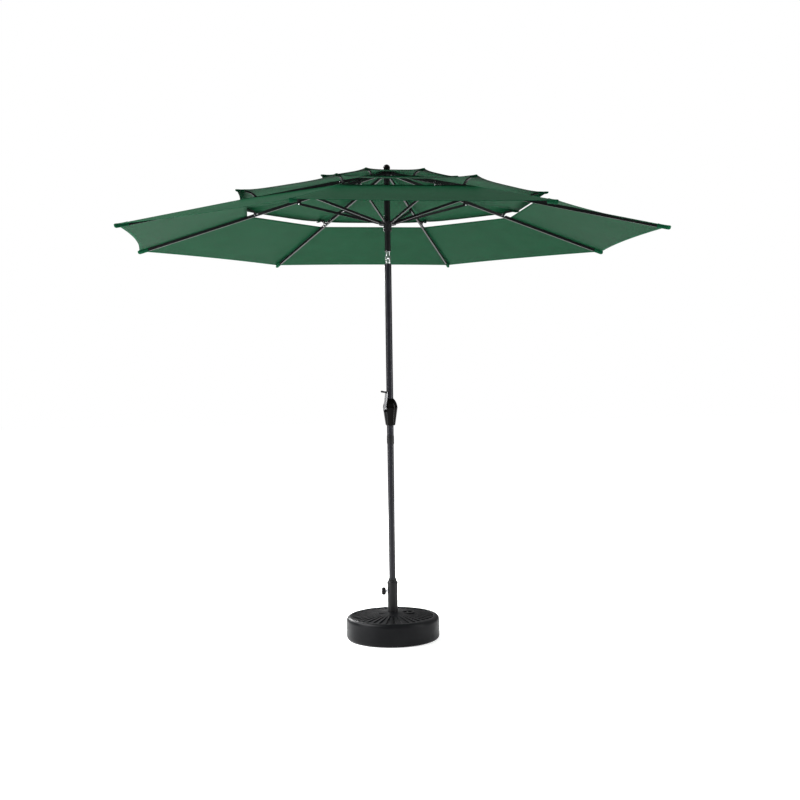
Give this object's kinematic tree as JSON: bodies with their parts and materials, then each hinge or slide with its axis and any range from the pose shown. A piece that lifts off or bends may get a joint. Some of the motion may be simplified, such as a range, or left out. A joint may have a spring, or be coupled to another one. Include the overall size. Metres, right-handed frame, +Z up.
{
  "type": "patio umbrella with base",
  "caption": "Octagonal market umbrella with a three-tier vented canopy on ribs and struts, crank lift and tilt joint on a pole clamped in a round fillable base.",
  "frame": {"origin": "centre of the base's underside, on the ground under the pole's axis", "axes": "+Z up the pole; +X towards the fill opening; the clamp knob faces -X and the mast tilts towards -Y"},
  "size_m": [2.7236, 2.7236, 2.5425],
  "materials": {
    "tank_resin": "satin blow-moulded resin",
    "sand": "loose sand",
    "dark_tube": "semi-gloss powder coat",
    "black_tube": "semi-gloss powder coat",
    "black_plastic": "gloss moulded plastic",
    "matte_black": "fine-grained moulded plastic",
    "plated_steel": "bright zinc plate",
    "cast_alloy": "polished die casting",
    "nylon": "natural nylon",
    "canopy_cloth": "plain-weave polyester"
  },
  "bodies": {
    "base": {"base_tank": "tank_resin", "sand_ballast": "sand", "base_tube": "black_tube", "tube_collar": "matte_black", "clamp_nut": "plated_steel"},
    "fill_cap": {"fill_cap": "matte_black"},
    "clamp": {"clamp_screw": "plated_steel", "clamp_knob": "matte_black"},
    "pole": {"lower_pole": "dark_tube", "joint_sleeve": "matte_black", "main_pole": "dark_tube", "crank_housing": "black_plastic", "housing_cover": "black_plastic", "tilt_fork": "cast_alloy", "tilt_pin": "plated_steel"},
    "crank": {"crank_arm": "plated_steel", "cord_spool": "nylon"},
    "crank_knob": {"crank_knob": "matte_black"},
    "tilt_button": {"tilt_button": "matte_black"},
    "mast": {"tilt_tongue": "cast_alloy", "upper_mast": "black_tube", "top_hub": "matte_black", "hub_pins": "plated_steel", "pulley_pin": "plated_steel", "finial": "black_plastic"},
    "pulley": {"top_pulley": "nylon"},
    "runner": {"runner": "matte_black"},
    "rib_1": {"rib_1": "black_tube", "rib_fittings_1": "matte_black"},
    "rib_2": {"rib_2": "black_tube", "rib_fittings_2": "matte_black"},
    "rib_3": {"rib_3": "black_tube", "rib_fittings_3": "matte_black"},
    "rib_4": {"rib_4": "black_tube", "rib_fittings_4": "matte_black"},
    "rib_5": {"rib_5": "black_tube", "rib_fittings_5": "matte_black"},
    "rib_6": {"rib_6": "black_tube", "rib_fittings_6": "matte_black"},
    "rib_7": {"rib_7": "black_tube", "rib_fittings_7": "matte_black"},
    "rib_8": {"rib_8": "black_tube", "rib_fittings_8": "matte_black"},
    "strut_1": {"strut_1": "black_tube"},
    "strut_2": {"strut_2": "black_tube"},
    "strut_3": {"strut_3": "black_tube"},
    "strut_4": {"strut_4": "black_tube"},
    "strut_5": {"strut_5": "black_tube"},
    "strut_6": {"strut_6": "black_tube"},
    "strut_7": {"strut_7": "black_tube"},
    "strut_8": {"strut_8": "black_tube"},
    "canopy_1": {"canopy_panel_1": "canopy_cloth"},
    "canopy_2": {"canopy_panel_2": "canopy_cloth"},
    "canopy_3": {"canopy_panel_3": "canopy_cloth"},
    "canopy_4": {"canopy_panel_4": "canopy_cloth"},
    "canopy_5": {"canopy_panel_5": "canopy_cloth"},
    "canopy_6": {"canopy_panel_6": "canopy_cloth"},
    "canopy_7": {"canopy_panel_7": "canopy_cloth"},
    "canopy_8": {"canopy_panel_8": "canopy_cloth"}
  },
  "joints": [
    {"name": "pole_swivel", "type": "hinge", "parent": "base", "child": "pole", "pos_m": [0, 0, 0.2], "axis": [0, 0, 1], "continuous": true},
    {"name": "clamp_turn", "type": "hinge", "parent": "base", "child": "clamp", "pos_m": [-0.05, 0, 0.254], "axis": [-1, 0, 0], "range_deg": [0, 720]},
    {"name": "fill_cap_lift", "type": "slide", "parent": "base", "child": "fill_cap", "axis": [0, 0, 1], "range_m": [0, 0.05]},
    {"name": "tilt", "type": "hinge", "parent": "pole", "child": "mast", "pos_m": [0, 0, 2.043], "axis": [1, 0, 0], "range_deg": [0, 35]},
    {"name": "tilt_button_press", "type": "slide", "parent": "pole", "child": "tilt_button", "axis": [0, -1, 0], "range_m": [0, 0.003], "stiffness_N_per_m": 800},
    {"name": "runner_lift", "type": "slide", "parent": "mast", "child": "runner", "axis": [0, 0, 1], "range_m": [-0.6984, 0], "deforming": ["canopy_panel_1", "canopy_panel_2", "canopy_panel_3", "canopy_panel_4", "canopy_panel_5", "canopy_panel_6", "canopy_panel_7", "canopy_panel_8"]},
    {"name": "crank_turn", "type": "hinge", "parent": "pole", "child": "crank", "pos_m": [-0.02346, -0.01705, 1.238], "axis": [-0.7995, -0.5809, 0.153], "range_deg": [-6671, 2]},
    {"name": "crank_knob_spin", "type": "hinge", "parent": "crank", "child": "crank_knob", "pos_m": [-0.01307, -0.00949, 1.32101], "axis": [-0.7995, -0.5809, 0.153], "continuous": true},
    {"name": "pulley_turn", "type": "hinge", "parent": "mast", "child": "pulley", "pos_m": [0, 0, 2.44], "axis": [1, 0, 0], "range_deg": [-4448, 2]},
    {"name": "rib_1_hinge", "type": "hinge", "parent": "mast", "child": "rib_1", "pos_m": [0.03234, 0.01339, 2.489], "axis": [-0.3827, 0.9239, 0], "range_deg": [-0.5, 69.56]},
    {"name": "rib_2_hinge", "type": "hinge", "parent": "mast", "child": "rib_2", "pos_m": [0.01339, 0.03234, 2.489], "axis": [-0.9239, 0.3827, 0], "range_deg": [-0.5, 69.56]},
    {"name": "rib_3_hinge", "type": "hinge", "parent": "mast", "child": "rib_3", "pos_m": [-0.01339, 0.03234, 2.489], "axis": [-0.9239, -0.3827, 0], "range_deg": [-0.5, 69.56]},
    {"name": "rib_4_hinge", "type": "hinge", "parent": "mast", "child": "rib_4", "pos_m": [-0.03234, 0.01339, 2.489], "axis": [-0.3827, -0.9239, 0], "range_deg": [-0.5, 69.56]},
    {"name": "rib_5_hinge", "type": "hinge", "parent": "mast", "child": "rib_5", "pos_m": [-0.03234, -0.01339, 2.489], "axis": [0.3827, -0.9239, 0], "range_deg": [-0.5, 69.56]},
    {"name": "rib_6_hinge", "type": "hinge", "parent": "mast", "child": "rib_6", "pos_m": [-0.01339, -0.03234, 2.489], "axis": [0.9239, -0.3827, 0], "range_deg": [-0.5, 69.56]},
    {"name": "rib_7_hinge", "type": "hinge", "parent": "mast", "child": "rib_7", "pos_m": [0.01339, -0.03234, 2.489], "axis": [0.9239, 0.3827, 0], "range_deg": [-0.5, 69.56]},
    {"name": "rib_8_hinge", "type": "hinge", "parent": "mast", "child": "rib_8", "pos_m": [0.03234, -0.01339, 2.489], "axis": [0.3827, 0.9239, 0], "range_deg": [-0.5, 69.56]},
    {"name": "strut_1_hinge", "type": "hinge", "parent": "rib_1", "child": "strut_1", "pos_m": [0.46093, 0.19093, 2.35819], "axis": [-0.3827, 0.9239, 0], "range_deg": [-138.62, 0.5]},
    {"name": "strut_2_hinge", "type": "hinge", "parent": "rib_2", "child": "strut_2", "pos_m": [0.19093, 0.46093, 2.35819], "axis": [-0.9239, 0.3827, 0], "range_deg": [-138.62, 0.5]},
    {"name": "strut_3_hinge", "type": "hinge", "parent": "rib_3", "child": "strut_3", "pos_m": [-0.19093, 0.46093, 2.35819], "axis": [-0.9239, -0.3827, 0], "range_deg": [-138.62, 0.5]},
    {"name": "strut_4_hinge", "type": "hinge", "parent": "rib_4", "child": "strut_4", "pos_m": [-0.46093, 0.19093, 2.35819], "axis": [-0.3827, -0.9239, 0], "range_deg": [-138.62, 0.5]},
    {"name": "strut_5_hinge", "type": "hinge", "parent": "rib_5", "child": "strut_5", "pos_m": [-0.46093, -0.19093, 2.35819], "axis": [0.3827, -0.9239, 0], "range_deg": [-138.62, 0.5]},
    {"name": "strut_6_hinge", "type": "hinge", "parent": "rib_6", "child": "strut_6", "pos_m": [-0.19093, -0.46093, 2.35819], "axis": [0.9239, -0.3827, 0], "range_deg": [-138.62, 0.5]},
    {"name": "strut_7_hinge", "type": "hinge", "parent": "rib_7", "child": "strut_7", "pos_m": [0.19093, -0.46093, 2.35819], "axis": [0.9239, 0.3827, 0], "range_deg": [-138.62, 0.5]},
    {"name": "strut_8_hinge", "type": "hinge", "parent": "rib_8", "child": "strut_8", "pos_m": [0.46093, -0.19093, 2.35819], "axis": [0.3827, 0.9239, 0], "range_deg": [-138.62, 0.5]},
    {"name": "canopy_1_fold", "type": "hinge", "parent": "mast", "child": "canopy_1", "pos_m": [0.03234, 0, 2.489], "axis": [0, 1, 0], "range_deg": [-0.5, 68.99]},
    {"name": "canopy_2_fold", "type": "hinge", "parent": "mast", "child": "canopy_2", "pos_m": [0.02286, 0.02286, 2.489], "axis": [-0.7071, 0.7071, 0], "range_deg": [-0.5, 68.99]},
    {"name": "canopy_3_fold", "type": "hinge", "parent": "mast", "child": "canopy_3", "pos_m": [0, 0.03234, 2.489], "axis": [-1, 0, 0], "range_deg": [-0.5, 68.99]},
    {"name": "canopy_4_fold", "type": "hinge", "parent": "mast", "child": "canopy_4", "pos_m": [-0.02286, 0.02286, 2.489], "axis": [-0.7071, -0.7071, 0], "range_deg": [-0.5, 68.99]},
    {"name": "canopy_5_fold", "type": "hinge", "parent": "mast", "child": "canopy_5", "pos_m": [-0.03234, 0, 2.489], "axis": [0, -1, 0], "range_deg": [-0.5, 68.99]},
    {"name": "canopy_6_fold", "type": "hinge", "parent": "mast", "child": "canopy_6", "pos_m": [-0.02286, -0.02286, 2.489], "axis": [0.7071, -0.7071, 0], "range_deg": [-0.5, 68.99]},
    {"name": "canopy_7_fold", "type": "hinge", "parent": "mast", "child": "canopy_7", "pos_m": [0, -0.03234, 2.489], "axis": [1, 0, 0], "range_deg": [-0.5, 68.99]},
    {"name": "canopy_8_fold", "type": "hinge", "parent": "mast", "child": "canopy_8", "pos_m": [0.02286, -0.02286, 2.489], "axis": [0.7071, 0.7071, 0], "range_deg": [-0.5, 68.99]}
  ],
  "couplings": [
    {"joint": "crank_turn", "follows": "runner_lift", "rad_per_m": 166.67},
    {"joint": "pulley_turn", "follows": "runner_lift", "rad_per_m": 111.11},
    {"joint": "rib_1_hinge", "follows": "runner_lift", "rad_per_m": -1.7258},
    {"joint": "rib_2_hinge", "follows": "runner_lift", "rad_per_m": -1.7258},
    {"joint": "rib_3_hinge", "follows": "runner_lift", "rad_per_m": -1.7258},
    {"joint": "rib_4_hinge", "follows": "runner_lift", "rad_per_m": -1.7258},
    {"joint": "rib_5_hinge", "follows": "runner_lift", "rad_per_m": -1.7258},
    {"joint": "rib_6_hinge", "follows": "runner_lift", "rad_per_m": -1.7258},
    {"joint": "rib_7_hinge", "follows": "runner_lift", "rad_per_m": -1.7258},
    {"joint": "rib_8_hinge", "follows": "runner_lift", "rad_per_m": -1.7258},
    {"joint": "strut_1_hinge", "follows": "runner_lift", "rad_per_m": 3.4517},
    {"joint": "strut_2_hinge", "follows": "runner_lift", "rad_per_m": 3.4517},
    {"joint": "strut_3_hinge", "follows": "runner_lift", "rad_per_m": 3.4517},
    {"joint": "strut_4_hinge", "follows": "runner_lift", "rad_per_m": 3.4517},
    {"joint": "strut_5_hinge", "follows": "runner_lift", "rad_per_m": 3.4517},
    {"joint": "strut_6_hinge", "follows": "runner_lift", "rad_per_m": 3.4517},
    {"joint": "strut_7_hinge", "follows": "runner_lift", "rad_per_m": 3.4517},
    {"joint": "strut_8_hinge", "follows": "runner_lift", "rad_per_m": 3.4517},
    {"joint": "canopy_1_fold", "follows": "runner_lift", "rad_per_m": -1.7116},
    {"joint": "canopy_2_fold", "follows": "runner_lift", "rad_per_m": -1.7116},
    {"joint": "canopy_3_fold", "follows": "runner_lift", "rad_per_m": -1.7116},
    {"joint": "canopy_4_fold", "follows": "runner_lift", "rad_per_m": -1.7116},
    {"joint": "canopy_5_fold", "follows": "runner_lift", "rad_per_m": -1.7116},
    {"joint": "canopy_6_fold", "follows": "runner_lift", "rad_per_m": -1.7116},
    {"joint": "canopy_7_fold", "follows": "runner_lift", "rad_per_m": -1.7116},
    {"joint": "canopy_8_fold", "follows": "runner_lift", "rad_per_m": -1.7116}
  ]
}
